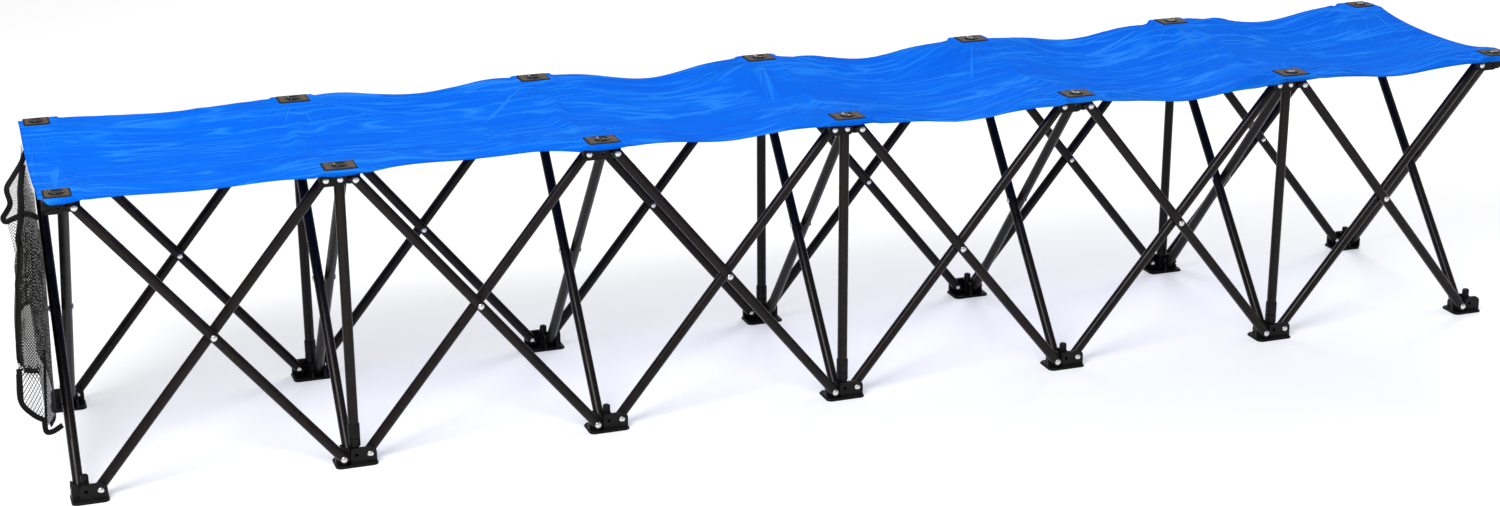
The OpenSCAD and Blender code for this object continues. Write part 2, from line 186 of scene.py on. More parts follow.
# Leg tubes. Steel tubes of 16 mm cross in every bay, powder coated black with a brown cast before
# they are riveted. The coat is smooth and satin, with the faint dimples of baked powder.
coat, tree, shader = material("powder_coat", Specular_IOR_Level=0.16)
cloud, dimples = noise(tree, 45, 3), noise(tree, 650, 1)
clouded(tree, shader, cloud, (0.0075, 0.0052, 0.0048), (0.0135, 0.0095, 0.0088), rough=(0.24, 0.34))
bumped(tree, shader, (dimples, 0.00005))


def coated(*nodes):
    """Gives packed tubes the powder coat."""
    for node in nodes:
        frame["nodes"][node].material_slots[0].material = coat


for i in bays:
    coated(f"rising_tubes_{i}", f"falling_tubes_{i}")

# Rivets. Zinc plated steel rivets with oval heads hold every crossing and every tube end, each closed
# over on its far side. They stay bright against the coated tubes. A row's plane halves its stepped
# walls. The distances from it are to a wall's face, to a tube's axis and to the far face of a pole's
# flattened top; a rivet's head and its closed end each have a width and a height.
pivot = {joint["name"]: np.array(joint["pos_m"]) for joint in frame["joints"]}
station_x = np.array([sum(corner.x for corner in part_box(f"seat_fixings_{i}")) / 2 for i in stations])
pitch = station_x[1] - station_x[0]
plane_y = -frame["record"]["mounts"][0]["pos_m"][1]
foot_z = pivot["fold"][2]
hub_z = pivot["hub_pivot_3"][2]
mid_z = (foot_z + hub_z) / 2
pin_u = pivot["fold"][0] - station_x[3]
wall = 0.006
tube_r = 0.008
tube_v = 0.0083
tongue = 0.0049
head = (0.0099, 0.0026)
tail = (0.0083, 0.00175)

zinc, tree, shader = material("zinc_plate", Metallic=1.0)
cloud = noise(tree, 500, 3)
clouded(tree, shader, cloud, (0.62, 0.62, 0.61), (0.86, 0.86, 0.87), rough=(0.2, 0.34))
bumped(tree, shader, (cloud, 0.00004))


def piece_of(name, points, faces, surface, body=None, smooth=True):
    """A new object with its place in its mesh, riding on a body."""
    mesh = bpy.data.meshes.new(name)
    mesh.from_pydata(np.asarray(points, float).reshape(-1, 3), [], faces)
    mesh.polygons.foreach_set("use_smooth", np.full(len(mesh.polygons), smooth))
    mesh.materials.append(surface)
    made = bpy.data.objects.new(name, mesh)
    bpy.context.scene.collection.objects.link(made)
    if body:
        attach(made, body)
    return made


def grid_faces(rows, columns, closed=False):
    """Four-sided faces between neighbouring points of a grid, rows first. In a closed grid the last
    column is joined to the first."""
    index = np.arange(rows * columns).reshape(rows, columns)
    if closed:
        index = np.concatenate([index, index[:, :1]], axis=1)
    corners = [index[:-1, :-1], index[1:, :-1], index[1:, 1:], index[:-1, 1:]]
    return np.stack(corners, -1).reshape(-1, 4).tolist()


def turned(profile, sides):
    """A closed solid of revolution about Z: each radius and height of the profile goes round in a ring,
    from the pole at the bottom to the pole at the top, which are single points."""
    radius, height = np.array(profile, float).T
    angle = np.arange(sides) * 2 * np.pi / sides
    rings = np.stack([np.outer(radius, np.cos(angle)), np.outer(radius, np.sin(angle)),
                      np.repeat(height[:, None], sides, 1)], -1)
    count = len(profile)
    low, high = count * sides, count * sides + 1
    points = np.concatenate([rings.reshape(-1, 3), [[0, 0, height[0]], [0, 0, height[-1]]]])
    faces = [[a, d, c, b] for a, b, c, d in grid_faces(count, sides, closed=True)]
    around = [(k, (k + 1) % sides) for k in range(sides)]
    faces += [[low, b, a] for a, b in around]
    faces += [[high, (count - 1) * sides + a, (count - 1) * sides + b] for a, b in around]
    return points, faces


def oval_head(width, height):
    """Half profile of an oval rivet head: a short rim, then a circle's arc up to the middle."""
    rim = height / 4
    arc = np.linspace(1, 0.02, 9)
    ball = ((width / 2) ** 2 + (height - rim) ** 2) / (2 * (height - rim))
    radius = width / 2 * arc
    rise = np.sqrt(ball ** 2 - radius ** 2) - (ball - (height - rim))
    return [(width / 2 - 0.0002, 0)] + list(zip(radius, rim + rise))


def copies(points, faces, places, facings):
    """Repeats a shape at each place with its Z axis turned to each facing; all of them one mesh."""
    facings = np.asarray(facings, float)
    side = np.cross(facings, [0, 0, 1.0])
    turn = np.stack([side, np.cross(facings, side), facings], 1)
    every = np.einsum("pk,nkd->npd", points, turn) + np.asarray(places, float)[:, None]
    count = len(points)
    shifted = [[v + n * count for v in face] for n in range(len(places)) for face in faces]
    return every.reshape(-1, 3), shifted


def rivets(name, body, heads, tails):
    """The heads and the closed ends of one body's rivets, each a place and the way it faces."""
    points, faces = np.empty((0, 3)), []
    for size, spots in ((head, heads), (tail, tails)):
        if spots:
            more, new = copies(*turned(oval_head(*size), 28), [s[0] for s in spots], [s[1] for s in spots])
            faces += [[v + len(points) for v in face] for face in new]
            points = np.concatenate([points, more])
    return piece_of(name, points, faces, zinc, body)


front, back = (0, -1, 0), (0, 1, 0)
span = tube_v + tube_r
for i in bays:
    left, right = station_x[i] + pin_u, station_x[i + 1] - pin_u
    middle = (left + right) / 2
    ends = ((left, foot_z), (right, hub_z))
    rivets(f"rivets_rising_{i}", f"rising_{i}",
           [((x, -plane_y - wall, z), front) for x, z in ends]
           + [((x, plane_y + span, z), back) for x, z in ends]
           + [((middle, -plane_y - span, mid_z), front), ((middle, plane_y + span, mid_z), back)],
           [((x, -plane_y + span, z), back) for x, z in ends]
           + [((x, plane_y - wall, z), front) for x, z in ends]
           + [((middle, -plane_y + span, mid_z), back), ((middle, plane_y - span, mid_z), front)])
    ends = ((left, hub_z), (right, foot_z))
    rivets(f"rivets_falling_{i}", f"falling_{i}",
           [((x, -plane_y - span, z), front) for x, z in ends]
           + [((x, plane_y + wall, z), back) for x, z in ends],
           [((x, -plane_y + wall, z), back) for x, z in ends]
           + [((x, plane_y - span, z), front) for x, z in ends])

# Cross tubes. Two more tubes cross between the front and the back of each station and hold the two
# rows apart. They are coated like the legs and share one rivet where they pass.
cross_u = pivot["rear_cross_pivot_3"][0] - station_x[3]
for i in stations:
    coated(f"front_cross_tube_{i}", f"rear_cross_tube_{i}")
    for name, way in (("front", -1), ("rear", 1)):
        spot = (station_x[i] + way * (cross_u + tube_r), 0, mid_z)
        rivets(f"rivet_{name}_cross_{i}", f"{name}_cross_{i}", [(spot, (way, 0, 0))], [])

# Lock poles. At every second station an upright tube hangs from each hub on one rivet through its
# flattened top, and its moulded ferrule drops over the peg of the foot to hold the bench open.
for i in stations[1::2]:
    coated(f"lock_poles_{i}")
    rivets(f"rivets_pole_{i}", f"hubs_{i}",
           [((station_x[i], way * (plane_y + wall), hub_z), (0, way, 0)) for way in (-1, 1)],
           [((station_x[i], way * (plane_y - tongue), hub_z), (0, -way, 0)) for way in (-1, 1)])
    moulding(f"nylon_ferrules_{i}", f"pole_ferrules_{i}", f"hubs_{i}", nylon)

# Seat. One sheet of bright blue woven polyester lies over all fourteen hubs. Its edge is cut in
# scallops and turned under in a hem with two rows of stitches. Buttons clamp it to the hubs, and it
# hangs slack between them, creased from being folded away.
seat_low, seat_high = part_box("seat_cover")
seat_half = seat_high.y
end_round = 0.016
hem = 0.014
cloth_thick = 0.0019
level = seat_high.z - 0.0009
cell = 0.010
cloth_steps = 40

# By bay: how far the edge is drawn in, and by what share the cloth is let out before it hangs. At the
# stations it is let out by a share of their own.
scallop = np.array([0.027, 0.028, 0.028, 0.019, 0.013, 0.017])
bay_slack = np.array([0.0015, 0.0006, 0.0105, 0.0235, 0.030, 0.015])
station_slack = 0.006


def seat_cut():
    """Flat places of the cloth's points: a rectangle with its edges drawn in by a squared sine in every
    bay, and with the four outer corners rounded to a quarter circle."""
    along = np.linspace(seat_low.x, seat_high.x, int(round((seat_high.x - seat_low.x) / cell)) + 1)
    across = np.linspace(-1, 1, int(round(2 * seat_half / cell)) + 1)
    part = np.clip((along - station_x[0]) / pitch, 0, len(bays))
    wave = np.sin(np.pi * part) ** 2
    from_end = np.minimum(along - seat_low.x, seat_high.x - along)
    inside = np.clip(end_round - from_end, 0, end_round)
    drawn_in = scallop[np.clip(part.astype(int), 0, bays[-1])] * wave
    width = seat_half - drawn_in - (end_round - np.sqrt(end_round ** 2 - inside ** 2))
    return np.repeat(along[:, None], len(across), 1), np.outer(width, across), part, wave


def held_by_hubs(flat_x, flat_y):
    """True for points that a hub's plate holds. They lie in a rounded oblong, where the sixth powers of
    the shares of its half length and of its half width add up to less than 1."""
    half_long, half_wide, middle = 0.033, 0.030, plane_y - 0.003
    held = np.zeros(flat_x.shape, bool)
    for x in station_x:
        u = np.abs(flat_x - x) / half_long
        v = np.abs(np.abs(flat_y) - middle) / half_wide
        held |= u ** 6 + v ** 6 < 1
    return held


def over_hubs(flat, cloth):
    """Lifts the cloth to lie level over each hub's plate and just past its rim. Outside that it may fall
    by one and a half times the distance, and its hem is pushed out to hang clear of the plate's edge."""
    half_long, half_wide, middle = 0.0345, 0.0265, 0.001
    steepest = 1.5
    hem_from, hem_out = 0.0255, 0.0268
    lifted = cloth.copy()
    from_row = np.abs(flat[..., 1]) - plane_y
    for x in station_x:
        u = np.clip(np.abs(flat[..., 0] - x) - half_long, 0, None)
        v = np.clip(np.abs(from_row - middle) - half_wide, 0, None)
        lifted[..., 2] = np.maximum(lifted[..., 2], level - steepest * np.hypot(u, v))
        reach = plane_y + hem_out - 2 * u
        inside = (from_row > hem_from) & (np.abs(lifted[..., 1]) < reach)
        lifted[..., 1] = np.where(inside, np.sign(flat[..., 1]) * reach, lifted[..., 1])
    return lifted


def lumpy(flat_x, flat_y, height):
    """A sum of sixty sine waves of 30 to 120 mm in all directions: the cloth as it is thrown on."""
    draw = np.random.default_rng(7)
    total = np.zeros(flat_x.shape)
    for _ in range(60):
        way = draw.uniform(0, 2 * np.pi)
        length = draw.uniform(0.03, 0.12)
        phase = draw.uniform(0, 6.28)
        total += np.sin((flat_x * np.cos(way) + flat_y * np.sin(way)) * 2 * np.pi / length + phase) \
            * draw.normal() * length
    return total * height / total.std()


def hang(flat_x, flat_y, part, wave):
    """Lets the cloth hang between the hubs under its own weight, with the cloth of each bay let out by that bay's
    slack."""
    held = held_by_hubs(flat_x, flat_y)
    height = level + lumpy(flat_x, flat_y, 0.0006) * ~held
    slack = bay_slack[np.clip(part.astype(int), 0, bays[-1])] * wave + station_slack * (1 - wave)
    rows, columns = flat_x.shape
    laid_out = np.stack([flat_x, flat_y, height], -1)
    sheet = piece_of("hanging_cloth", laid_out, grid_faces(rows, columns), nylon)
    pins = sheet.vertex_groups.new(name="pins")
    pins.add(np.flatnonzero(held.ravel()).tolist(), 1.0, "ADD")
    ease = sheet.vertex_groups.new(name="ease")
    most, levels = slack.max(), 64
    share = np.repeat(np.round((1 - slack / most) * levels)[:, None], columns, 1).ravel()
    for step in np.unique(share):
        ease.add(np.flatnonzero(share == step).tolist(), step / levels, "ADD")
    cloth = sheet.modifiers.new("hanging", "CLOTH")
    cloth.collision_settings.use_collision = False
    cloth.point_cache.frame_start = 1
    cloth.point_cache.frame_end = cloth_steps
    fabric = cloth.settings
    fabric.quality = 6
    fabric.mass = 0.03
    fabric.tension_stiffness = 45
    fabric.compression_stiffness = 30
    fabric.shear_stiffness = 18
    fabric.bending_stiffness = 0.02
    fabric.tension_damping = 5
    fabric.compression_damping = 5
    fabric.shear_damping = 5
    fabric.bending_damping = 0.5
    fabric.air_damping = 2
    fabric.vertex_group_mass = "pins"
    fabric.vertex_group_shrink = "ease"
    fabric.shrink_max = 0.0
    fabric.shrink_min = -most
    scene = bpy.context.scene
    for step in range(1, cloth_steps + 1):
        scene.frame_set(step)
    hung = sheet.evaluated_get(bpy.context.evaluated_depsgraph_get())
    points = np.empty(3 * rows * columns, np.float32)
    hung.data.vertices.foreach_get("co", points)
    scene.frame_set(1)
    bpy.data.objects.remove(sheet)
    return points.reshape(rows, columns, 3).astype(float)


def twice_as_fine(grid):
    """Puts a new row between every two along the first axis, on the cubic curve through four rows."""
    first, last = 2 * grid[:1] - grid[1:2], 2 * grid[-1:] - grid[-2:-1]
    rows = np.concatenate([first, grid, last])
    between = (9 * (rows[1:-2] + rows[2:-1]) - rows[:-3] - rows[3:]) / 16
    fine = np.empty((2 * len(grid) - 1, *grid.shape[1:]))
    fine[::2] = grid
    fine[1::2] = between
    return fine


def finer(grid):
    """Halves the cells of a grid both ways."""
    return twice_as_fine(twice_as_fine(grid).swapaxes(0, 1)).swapaxes(0, 1)


def creases(flat_x, flat_y, starts, headings, lengths, widths, heights):
    """Height of many pressed-in creases. Each is a bell across its own slightly bent line, full in its
    middle and faded to nothing at both ends."""
    total = np.zeros(flat_x.shape)
    for (x, y), way, length, width, height in zip(starts, headings, lengths, widths, heights):
        u, v = flat_x - x, flat_y - y
        along = (u * np.cos(way) + v * np.sin(way)) / length
        bend = 0.06 * length * np.sin(3.0 * along + 40 * width * way)
        off = (v * np.cos(way) - u * np.sin(way) - bend) / width
        fade = np.clip(1 - (2 * along - 1) ** 2, 0, 1)
        total += height * fade * np.exp(-off ** 2)
    return total


def creased(flat_x, flat_y):
    """All creases of the seat: long ones that fan out from the hubs, deeper where a bay hangs slacker,
    and short ones strewn over it, mostly along the bench."""
    draw = np.random.default_rng(23)
    fans, strewn = 150, 260
    hub = draw.integers(0, len(stations), fans)
    side = draw.choice([-1, 1], fans)
    way = np.where(draw.random(fans) < 0.5, 0, np.pi) + draw.uniform(-1.1, 1.1, fans)
    way = np.where(np.sin(way) * side > 0, -way, way)
    reach = draw.uniform(0.03, 0.05, fans)
    starts = np.stack([station_x[hub] + reach * np.cos(way), side * plane_y + reach * np.sin(way)], 1)
    bay = np.clip(hub - (np.cos(way) < 0), 0, bays[-1])
    depth = 0.0015 + 0.06 * bay_slack[bay]
    height = depth * draw.choice([-1, 1], fans) * draw.uniform(0.5, 1.3, fans)
    total = creases(flat_x, flat_y, starts, way, draw.uniform(0.08, 0.26, fans),
                    draw.uniform(0.006, 0.012, fans), height)
    starts = np.stack([draw.uniform(seat_low.x, seat_high.x, strewn), draw.uniform(-0.2, 0.2, strewn)], 1)
    way = draw.normal(0, 0.45, strewn) + draw.choice([-0.3, 0.3], strewn)
    height = draw.choice([-1, 1], strewn) * draw.uniform(0.0006, 0.0016, strewn)
    return total + creases(flat_x, flat_y, starts, way, draw.uniform(0.05, 0.2, strewn),
                           draw.uniform(0.005, 0.009, strewn), height)


# By bay: how deep the rounding of the fall off the hubs goes, and how far the front edge, at -1, and
# the rear edge, at 1, are lifted.
bay_round = np.array([0.012, 0.020, 0.026, 0.026, 0.026, 0.026])
tighter = {-1: np.array([0, 0.006, 0, 0, 0, 0]), 1: np.array([0.010, 0.004, 0, 0, 0, 0])}


def shouldered(flat, cloth):
    """Rounds the way the cloth falls off its hubs. Near each row of hubs the hanging curve, four times
    t(1 - t) from one plate's rim to the next, gives way to the squared sine of t half turns, and some
    edges are drawn tighter."""
    rim, spread = 0.036, 0.08
    part = np.clip((flat[..., 0] - station_x[0]) / pitch, 0, len(bays) - 1e-9)
    bay = part.astype(int)
    t = np.clip((part % 1 * pitch - rim) / (pitch - 2 * rim), 0, 1)
    dip = np.sin(np.pi * t) ** 2
    shaped = cloth.copy()
    for way in (-1, 1):
        near = np.exp(-((flat[..., 1] - way * plane_y) / spread) ** 2)
        shaped[..., 2] += near * (bay_round[bay] * (4 * t * (1 - t) - dip) + tighter[way][bay] * dip)
    return shaped


flat_x, flat_y, part, wave = seat_cut()
flat = finer(np.stack([flat_x, flat_y], -1))
cloth = shouldered(flat, finer(hang(flat_x, flat_y, part, wave)))
from_edge = np.minimum(np.minimum(flat[..., 0] - seat_low.x, seat_high.x - flat[..., 0]),
                       np.abs(flat[:, :1, 1]) - np.abs(flat[..., 1]))
loose = 1 - np.clip(finer(held_by_hubs(flat_x, flat_y)[..., None].astype(float))[..., 0], 0, 1)
cloth[..., 2] += creased(flat[..., 0], flat[..., 1]) * loose * np.clip(from_edge / 0.02, 0.35, 1)
cloth = over_hubs(flat, cloth)
rows, columns = cloth.shape[:2]

weave, tree, shader = material("blue_weave", Roughness=0.9, Specular_IOR_Level=0.03)
flat_place = add(tree, "UVMap", uv_map="flat").outputs[0]
split = add(tree, "SeparateXYZ", {0: flat_place})
thread_pitch = 0.0009
stitch_pitch = 0.0035
thread = 2 * math.pi / thread_pitch
warp = math_node(tree, "SINE", math_node(tree, "MULTIPLY", split.outputs[0], thread))
weft = math_node(tree, "SINE", math_node(tree, "MULTIPLY", split.outputs[1], thread))
threads = math_node(tree, "MULTIPLY", warp, weft)


def ridges(tree, place, width, threshold, mask_scale):
    """1 along thin lines, 0 beside them. The lines lie where a smooth noise passes its middle value, and
    a second, broad noise lets them through only where it is above a threshold."""
    pattern = noise(tree, 1.0, 0.6, place)
    off = math_node(tree, "ABSOLUTE", math_node(tree, "SUBTRACT", pattern, 0.5))
    mask = noise(tree, mask_scale, 1, flat_place)
    return math_node(tree, "MULTIPLY", ranged(tree, off, 0.0, width, 1.0, 0.0),
                     ranged(tree, mask, threshold, threshold + 0.1, 0.0, 1.0))


def hub_fan(tree, spread, width, reach):
    """Creases that run straight out from the nearest hub: lines that depend on the direction alone, each
    fading out at its own distance."""
    bay = math_node(tree, "DIVIDE", math_node(tree, "SUBTRACT", split.outputs[0], station_x[0]), pitch)
    near = math_node(tree, "ROUND", bay)
    x = math_node(tree, "MULTIPLY", math_node(tree, "SUBTRACT", bay, near), pitch)
    y = math_node(tree, "SUBTRACT", math_node(tree, "ABSOLUTE", split.outputs[1]), plane_y)
    offset = add(tree, "CombineXYZ", {0: x, 1: y}).outputs[0]
    far = add(tree, "VectorMath", {0: offset}, operation="LENGTH").outputs["Value"]
    way = add(tree, "VectorMath", {0: offset}, operation="NORMALIZE").outputs[0]
    row = math_node(tree, "SIGN", split.outputs[1])
    seed = {0: math_node(tree, "MULTIPLY", row, 3.7), 2: math_node(tree, "MULTIPLY", near, 5.3)}
    seed = add(tree, "CombineXYZ", seed).outputs[0]
    turned_to = add(tree, "VectorMath", {0: way, 1: seed}, operation="ADD").outputs[0]
    pattern = noise(tree, spread, 0.6, turned_to)
    off = math_node(tree, "ABSOLUTE", math_node(tree, "SUBTRACT", pattern, 0.5))
    length = noise(tree, 2.2, 1, turned_to)
    left_over = math_node(tree, "SUBTRACT", ranged(tree, length, 0.35, 0.65, 0.06, reach), far)
    fade = math_node(tree, "MULTIPLY", ranged(tree, left_over, 0.0, 0.05, 0.0, 1.0),
                     ranged(tree, far, 0.03, 0.05, 0.0, 1.0))
    return math_node(tree, "MULTIPLY", ranged(tree, off, 0.0, width, 1.0, 0.0), fade)


def laid(tree, turn, long, wide):
    """The cloth's own place, turned in its plane and scaled along and across the turned direction."""
    sockets = {"Vector": flat_place, "Rotation": (0, 0, turn), "Scale": (long, wide, 1)}
    return add(tree, "Mapping", sockets).outputs[0]


layers = [hub_fan(tree, 5.5, 0.016, 0.25), hub_fan(tree, 9.5, 0.028, 0.20)]
layers += [ridges(tree, laid(tree, turn, long, wide), thin, threshold, mask_scale)
           for turn, long, wide, thin, threshold, mask_scale in (
               (0.06, 1.5, 21, 0.022, 0.40, 5), (-0.2, 1.7, 19, 0.022, 0.44, 6),
               (0.33, 2.0, 22, 0.025, 0.46, 7), (-0.55, 2.4, 21, 0.025, 0.48, 8),
               (0.95, 3.0, 20, 0.025, 0.52, 9))]
lines = layers[0]
for layer in layers[1:]:
    lines = math_node(tree, "MAXIMUM", lines, layer)
cloud = noise(tree, 4, 4, laid(tree, 0.2, 1, 2.5))
# The crease lines raise the bump and also lighten the blue: partly a pressed, worn line, partly a painted
# highlight where each crease catches the light.
tone = math_node(tree, "ADD", math_node(tree, "MULTIPLY", cloud, 0.5),
                 math_node(tree, "MULTIPLY", lines, 0.5))
tree.links.new(ramp(tree, tone, (0.18, (0.001, 0.135, 0.84)), (0.36, (0.002, 0.168, 0.90)),
                    (0.85, (0.024, 0.262, 0.98))), shader.inputs["Base Color"])
edge = add(tree, "Attribute", attribute_name="from_edge").outputs["Fac"]
stitch_rows = (0.0025, hem - 0.001)
off_rows = [math_node(tree, "ABSOLUTE", math_node(tree, "SUBTRACT", edge, row)) for row in stitch_rows]
rowed = [ranged(tree, off, 0.0, 0.0009, 1.0, 0.0) for off in off_rows]
run = math_node(tree, "ADD", split.outputs[0], split.outputs[1])
dash = math_node(tree, "SINE", math_node(tree, "MULTIPLY", run, 2 * math.pi / stitch_pitch))
stitch = math_node(tree, "MULTIPLY", math_node(tree, "ADD", *rowed),
                   ranged(tree, dash, -0.6, -0.2, 0.2, 1.0))
bumped(tree, shader, (threads, 0.00004), (lines, 0.0007), (stitch, -0.0006))

seat = piece_of("blue_seat", cloth, grid_faces(rows, columns), weave)
loops = np.empty(len(seat.data.loops), np.int32)
seat.data.loops.foreach_get("vertex_index", loops)
seat.data.uv_layers.new(name="flat").data.foreach_set("uv", flat.reshape(-1, 2)[loops].ravel())
seat.data.attributes.new("from_edge", "FLOAT", "POINT").data.foreach_set("value", from_edge.ravel())
turned_under = seat.vertex_groups.new(name="hem")
turned_under.add(np.flatnonzero(from_edge.ravel() < hem).tolist(), 1.0, "ADD")
thickness = seat.modifiers.new("cloth_thickness", "SOLIDIFY")
thickness.thickness = cloth_thick
thickness.offset = 0.0
thickness.vertex_group = "hem"
thickness.thickness_vertex_group = 0.6
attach(seat, "hubs_3")
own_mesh(seat)
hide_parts("seat_cover")

# Seat fixings. Over each hub a dark square of ribbed webbing is box stitched to the fabric, and a
# dished plastic button on a screw clamps fabric and webbing to the hub.
patch_long = 0.050
end_patch_long = 0.040
patch_w = 0.042
patch_up = seat_high.z + 0.0001
screw_y = plane_y + 0.003
button_up = patch_up + 0.0010

webbing, tree, shader = material("ribbed_webbing", Roughness=0.75, Specular_IOR_Level=0.2)
# The per-point "thread" value lightens the webbing from near black: tan along the ribs, and over the inner field a
# grey that is a painted reflection of the studio.
ribs = add(tree, "Attribute", attribute_name="thread").outputs["Fac"]
fleck = noise(tree, 900, 2)
tone = math_node(tree, "ADD", math_node(tree, "MULTIPLY", fleck, 0.3),
                 math_node(tree, "MULTIPLY", ribs, 0.7))
tree.links.new(ramp(tree, tone, (0.08, (0.004, 0.0035, 0.003)), (0.35, (0.085, 0.070, 0.060)),
                    (0.9, (0.30, 0.19, 0.10))), shader.inputs["Base Color"])
bumped(tree, shader, (fleck, 0.00015))

gloss, tree, shader = material("button_plastic", Specular_IOR_Level=0.5)
cloud = noise(tree, 260, 3)
clouded(tree, shader, cloud, (0.008, 0.008, 0.008), (0.014, 0.013, 0.013), rough=(0.18, 0.3))
bumped(tree, shader, (cloud, 0.00005))


def bell(value, middle, width):
    """1 at the middle, falling smoothly to nothing about a width away."""
    return np.exp(-((value - middle) / width) ** 2)


def patch_top(patch_l):
    """Heights of one webbing square: rounded edges, a raised border, three ribs at each end and a lower field
    inside a stitched square. Also how light the colour is at each point: tan along the ribs, and grey over the
    inner field as a painted reflection of the studio."""
    columns, rows = 100, 72
    thick, edge_round, border_w, step = 0.001, 0.0012, 0.0042, 0.0006
    rib_places, rib_half, stitch_box, round_off = (0.0045, 0.0075, 0.0105), 0.0008, 0.0125, 0.0025
    u, v = np.meshgrid(np.linspace(-1, 1, columns), np.linspace(-1, 1, rows), indexing="ij")
    x, y = u * patch_l / 2, v * patch_w / 2
    inset_x, inset_y = patch_l / 2 - np.abs(x), patch_w / 2 - np.abs(y)
    edge = np.minimum(inset_x, inset_y)
    rising = np.clip(edge / edge_round, 0, 1)
    body = thick * np.sqrt(1 - (1 - rising) ** 2)
    border = 0.00035 * np.clip((border_w - edge) / step, 0, 1) * rising
    rib = sum(bell(inset_x, at, rib_half) for at in rib_places) * (inset_y > 0.0035)
    stitch = bell(np.maximum(np.abs(x) + 0.001, np.abs(y) - 0.004), stitch_box, step)
    stitch *= 0.6 + 0.4 * np.sin(2600 * (x + y))
    height = body + border + 0.0004 * rib - 0.0003 * stitch * (edge > 0.005)
    # The field's share of the lightness is a painted reflection on the webbing; the ribs' share makes them tan.
    field = np.clip((edge - 0.004) / step, 0, 1) * np.clip((inset_x - 0.0118) / step, 0, 1)
    light = np.clip(0.8 * rib + 0.3 * field, 0, 1)
    over_x, over_y = 1 - inset_x / round_off, 1 - inset_y / round_off
    near = (over_x > 0) & (over_y > 0)
    over_x, over_y = np.where(near, over_x, 0), np.where(near, over_y, 0)
    x = x - np.sign(x) * round_off * over_x * (1 - np.sqrt(1 - over_y ** 2 / 2))
    y = y - np.sign(y) * round_off * over_y * (1 - np.sqrt(1 - over_x ** 2 / 2))
    return np.stack([x, y, height], -1), light


def rim_of(rows, columns):
    """Indices of a grid's outermost points, in order round it."""
    index = np.arange(rows * columns).reshape(rows, columns)
    return np.concatenate([index[:-1, 0], index[-1, :-1], index[:0:-1, -1], index[0, :0:-1]])


# Half profile of the dished button: up its outer side, over its rim and down to a small boss.
dish = [(0.0106, 0), (0.011, 0.0006), (0.011, 0.0016), (0.0108, 0.0022), (0.0103, 0.0026),
        (0.0097, 0.0027), (0.0090, 0.0024), (0.0080, 0.0016), (0.0068, 0.0011), (0.0052, 0.0010),
        (0.0034, 0.0011), (0.0026, 0.0016), (0.0008, 0.0018)]
button_points, button_faces = turned(dish, 40)
for i in stations:
    top, light = patch_top(end_patch_long if i in (stations[0], stations[-1]) else patch_long)
    patch_faces = grid_faces(*top.shape[:2]) + [rim_of(*top.shape[:2])[::-1].tolist()]
    patch_points = top.reshape(-1, 3)
    points, faces = [], []
    button, rings = [], []
    for way in (-1, 1):
        at = np.array([station_x[i], way * screw_y, 0])
        faces += [[v + len(patch_points) * (way > 0) for v in face] for face in patch_faces]
        points.append(patch_points * (-way, -way, 1) + at + (0, 0, patch_up))
        rings += [[v + len(button_points) * (way > 0) for v in face] for face in button_faces]
        button.append(button_points + at + (0, 0, button_up))
    patches = piece_of(f"seat_patches_{i}", np.concatenate(points), faces, webbing, f"hubs_{i}")
    rib_tone_and_painted_reflection = patches.data.attributes.new("thread", "FLOAT", "POINT")
    rib_tone_and_painted_reflection.data.foreach_set("value", np.tile(light.ravel(), 2))
    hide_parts(f"seat_fixings_{i}")
    piece_of(f"seat_buttons_{i}", np.concatenate(button), rings, gloss, f"hubs_{i}")

# Mesh bag. A sleeve of black knitted net is sewn to the left end of the seat for small kit, with its
# mouth and hems bound in black tape. It hangs empty, in folds, with its lower part turned up.
bag_x = seat_low.x
bag_front = -0.170
bag_back = 0.130
bag_top_sink = 0.003
bag_hem_z = 0.203
bag_inner_z = 0.113
net_wide = 0.0052
net_high = 0.0060

net_yarn, tree, shader = material("black_net", Roughness=0.7, Specular_IOR_Level=0.12)
fleck = noise(tree, 700, 2)
clouded(tree, shader, fleck, (0.005, 0.005, 0.005), (0.016, 0.015, 0.014))
bumped(tree, shader, (fleck, 0.0001))

tape_weave, tree, shader = material("black_tape", Roughness=0.75, Specular_IOR_Level=0.12)
fleck = noise(tree, 1100, 2)
clouded(tree, shader, fleck, (0.003, 0.003, 0.003), (0.010, 0.009, 0.009))
bumped(tree, shader, (fleck, 0.0002))


def eased(value, low, high):
    """Runs from 0 at low to 1 at high with level ends."""
    part = np.clip((value - low) / (high - low), 0, 1)
    return part * part * (3 - 2 * part)


def net(name, surface, wide, high, hole, wrap=False):
    """Knitted net over a surface. The surface turns two parts from 0 to 1 into a point. Diamonds tile it
    in two sets, half a cell apart, and each is a frame of four strands round a hole. The hole's share
    of the cell goes from the first value at the top to the second a third of the way down."""
    across, down = int(round(wide / net_wide)), int(round(high / net_high))
    first = np.stack(np.meshgrid(np.arange(across) * 2 + 1, np.arange(down) * 2 + 1, indexing="ij"), -1)
    second = np.stack(np.meshgrid(np.arange(0 if wrap else 1, across) * 2, np.arange(1, down) * 2,
                                  indexing="ij"), -1)
    middles = np.concatenate([first.reshape(-1, 2), second.reshape(-1, 2)])
    tips = np.array([(0, -1), (1, 0), (0, 1), (-1, 0)])
    outer = middles[:, None] + tips
    if wrap:
        outer[..., 0] %= 2 * across
    knots, index = np.unique(outer.reshape(-1, 2), axis=0, return_inverse=True)
    index = index.reshape(-1, 4)
    share = hole[0] + (hole[1] - hole[0]) * eased(middles[:, 1] / (2 * down), 0.1, 0.33)
    inner = middles[:, None] + tips * share[:, None, None]
    parts = np.concatenate([knots, inner.reshape(-1, 2)]) / (2 * across, 2 * down)
    inner_index = len(knots) + np.arange(inner.size // 2).reshape(-1, 4)
    following = (1, 2, 3, 0)
    faces = np.stack([index, index[:, following], inner_index[:, following], inner_index], -1).reshape(-1, 4)
    points = surface(parts[:, 0], parts[:, 1])
    return piece_of(name, points, faces.tolist(), net_yarn, "hubs_0", False)


